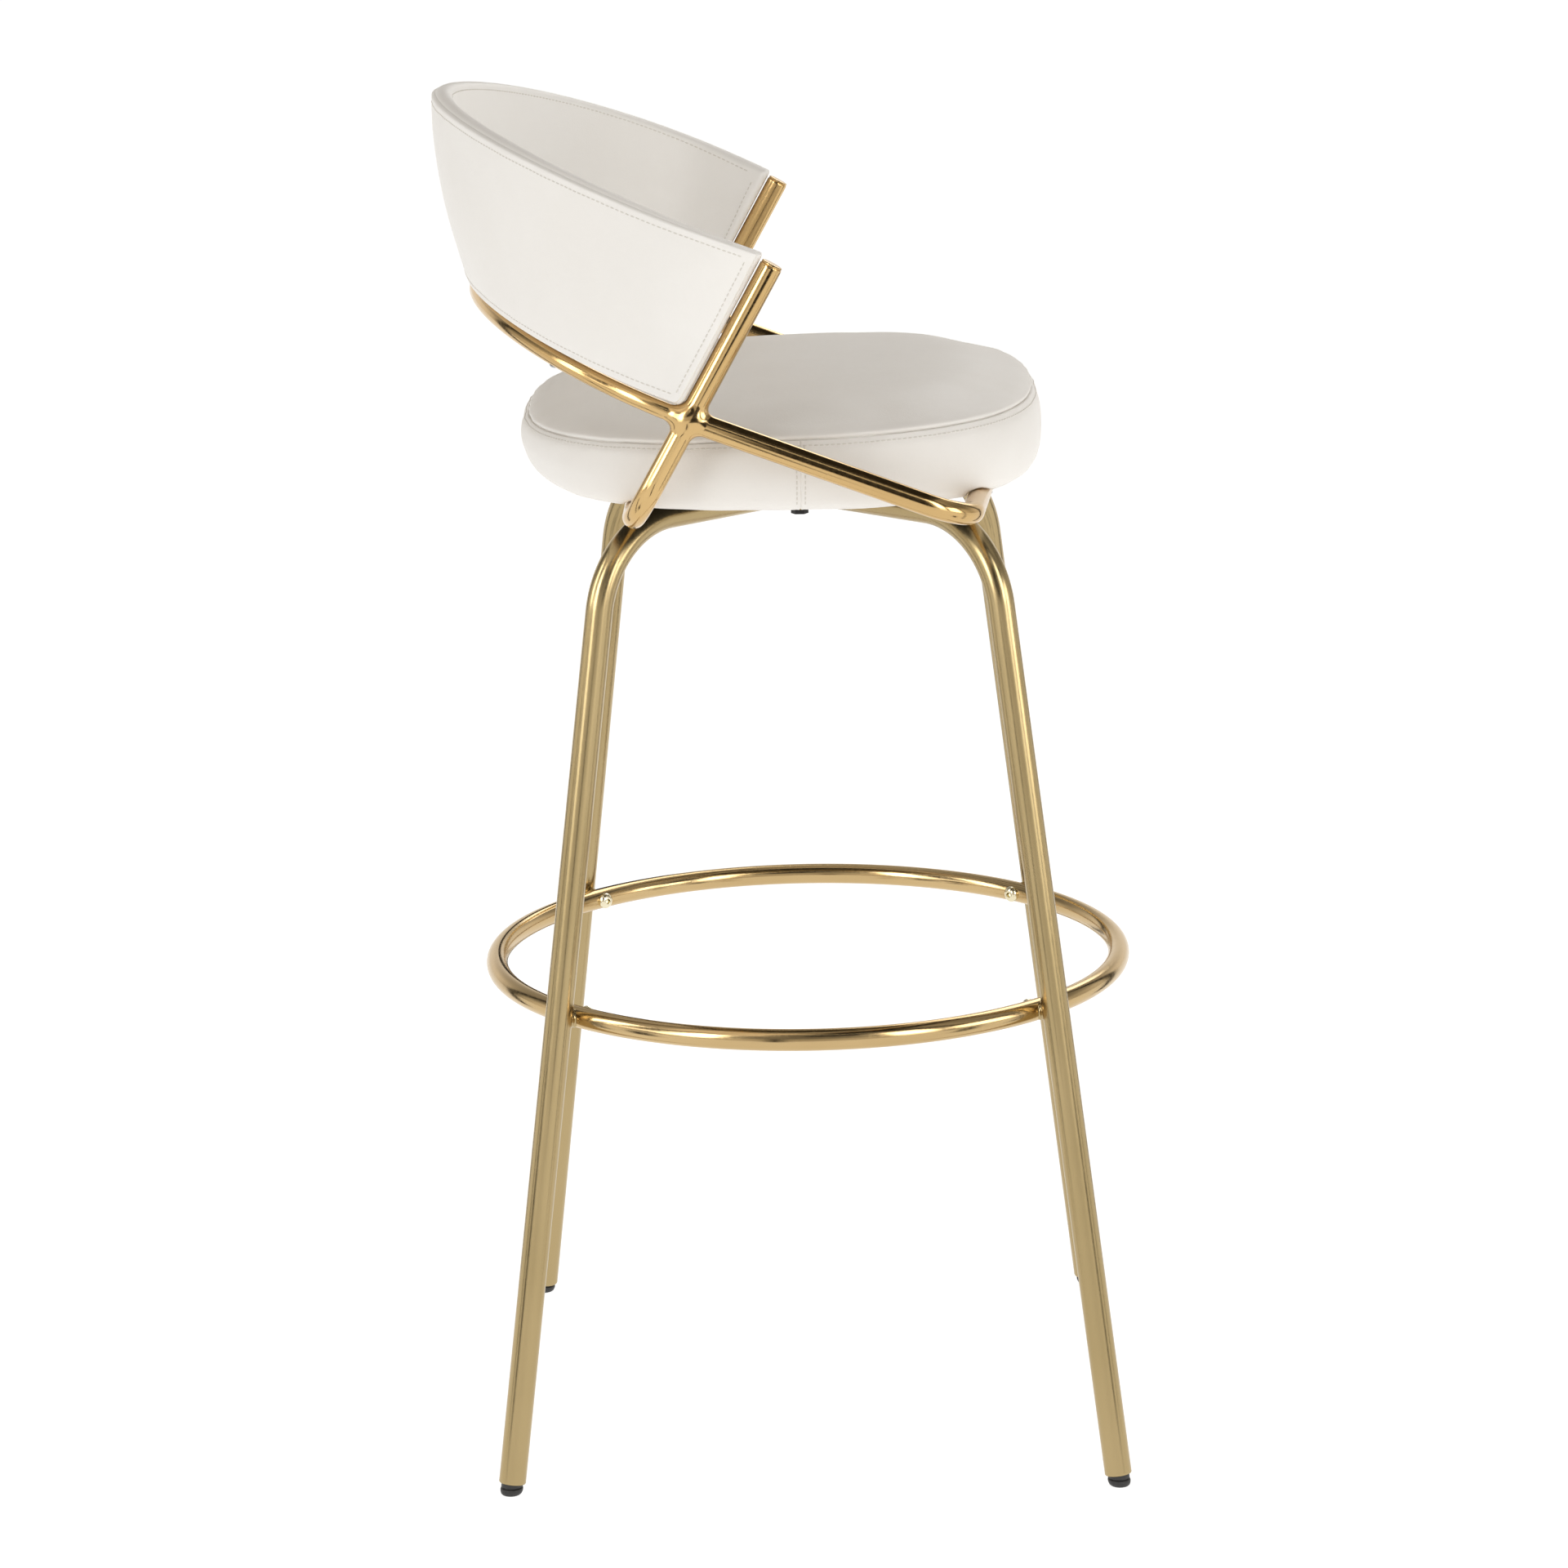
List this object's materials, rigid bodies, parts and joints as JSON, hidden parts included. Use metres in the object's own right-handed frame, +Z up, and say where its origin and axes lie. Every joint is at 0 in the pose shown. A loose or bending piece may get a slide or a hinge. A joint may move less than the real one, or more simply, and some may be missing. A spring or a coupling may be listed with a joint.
{
  "type": "bar stool with footrest",
  "caption": "Swivel bar stool with a padded wrap-around back, round-cornered cushion seat, splayed bent-tube legs and a round footrest ring.",
  "frame": {"origin": "on the floor, at the middle of the whole stool's box in plan; the swivel axis stands 9.4 mm in front of it", "axes": "+Z up; the sitter faces -Y; +X is the sitter's left"},
  "size_m": [0.5486, 0.5108, 1.0147],
  "materials": {
    "satin_gold": "satin champagne-gold plating on steel tube",
    "bright_gold": "polished warm gold plating on steel tube",
    "bolt_gold": "bright gold plated screw",
    "black_rubber": "matt black rubber",
    "black_steel": "black powder coat",
    "zinc": "zinc plated",
    "plywood": "raw plywood",
    "foam": "open-cell foam",
    "dust_cloth": "black non-woven cloth",
    "seat_leather": "off-white faux leather, fine grain",
    "back_leather": "off-white faux leather, fine grain"
  },
  "bodies": {
    "base": {"leg_front_right": "satin_gold", "leg_front_left": "satin_gold", "leg_rear_right": "satin_gold", "leg_rear_left": "satin_gold", "glide_front_right": "black_rubber", "glide_front_left": "black_rubber", "glide_rear_right": "black_rubber", "glide_rear_left": "black_rubber", "footrest_ring": "bright_gold", "ring_saddle_front_right": "satin_gold", "ring_saddle_front_left": "satin_gold", "ring_saddle_rear_right": "satin_gold", "ring_saddle_rear_left": "satin_gold", "ring_bolt_front_right": "bolt_gold", "ring_bolt_front_left": "bolt_gold", "ring_bolt_rear_right": "bolt_gold", "ring_bolt_rear_left": "bolt_gold", "hub": "satin_gold", "swivel_lower_plate": "black_steel", "plate_screw_front_right": "zinc", "plate_screw_front_left": "zinc", "plate_screw_rear_right": "zinc", "plate_screw_rear_left": "zinc", "swivel_ball_ring": "zinc", "centre_bolt": "black_steel", "centre_washer": "zinc", "centre_nut": "zinc"},
    "seat": {"rear_u_tube": "bright_gold", "front_u_tube": "bright_gold", "back_hoop": "bright_gold", "post_cap_right": "bright_gold", "post_cap_left": "bright_gold", "seat_plate": "black_steel", "seat_bolt_front_right": "zinc", "seat_bolt_front_left": "zinc", "seat_bolt_rear_right": "zinc", "seat_bolt_rear_left": "zinc", "back_screw_right": "zinc", "back_screw_rear": "zinc", "back_screw_left": "zinc", "seat_board": "plywood", "back_core": "plywood", "seat_foam": "foam", "dust_cover": "dust_cloth", "seat_side_band": "seat_leather", "seat_top_panel": "seat_leather", "back_pad_inner": "back_leather", "back_pad_outer": "back_leather"}
  },
  "joints": [
    {"name": "seat_swivel", "type": "hinge", "parent": "base", "child": "seat", "pos_m": [0, -0.00937, 0.7245], "axis": [0, 0, 1], "continuous": true}
  ]
}
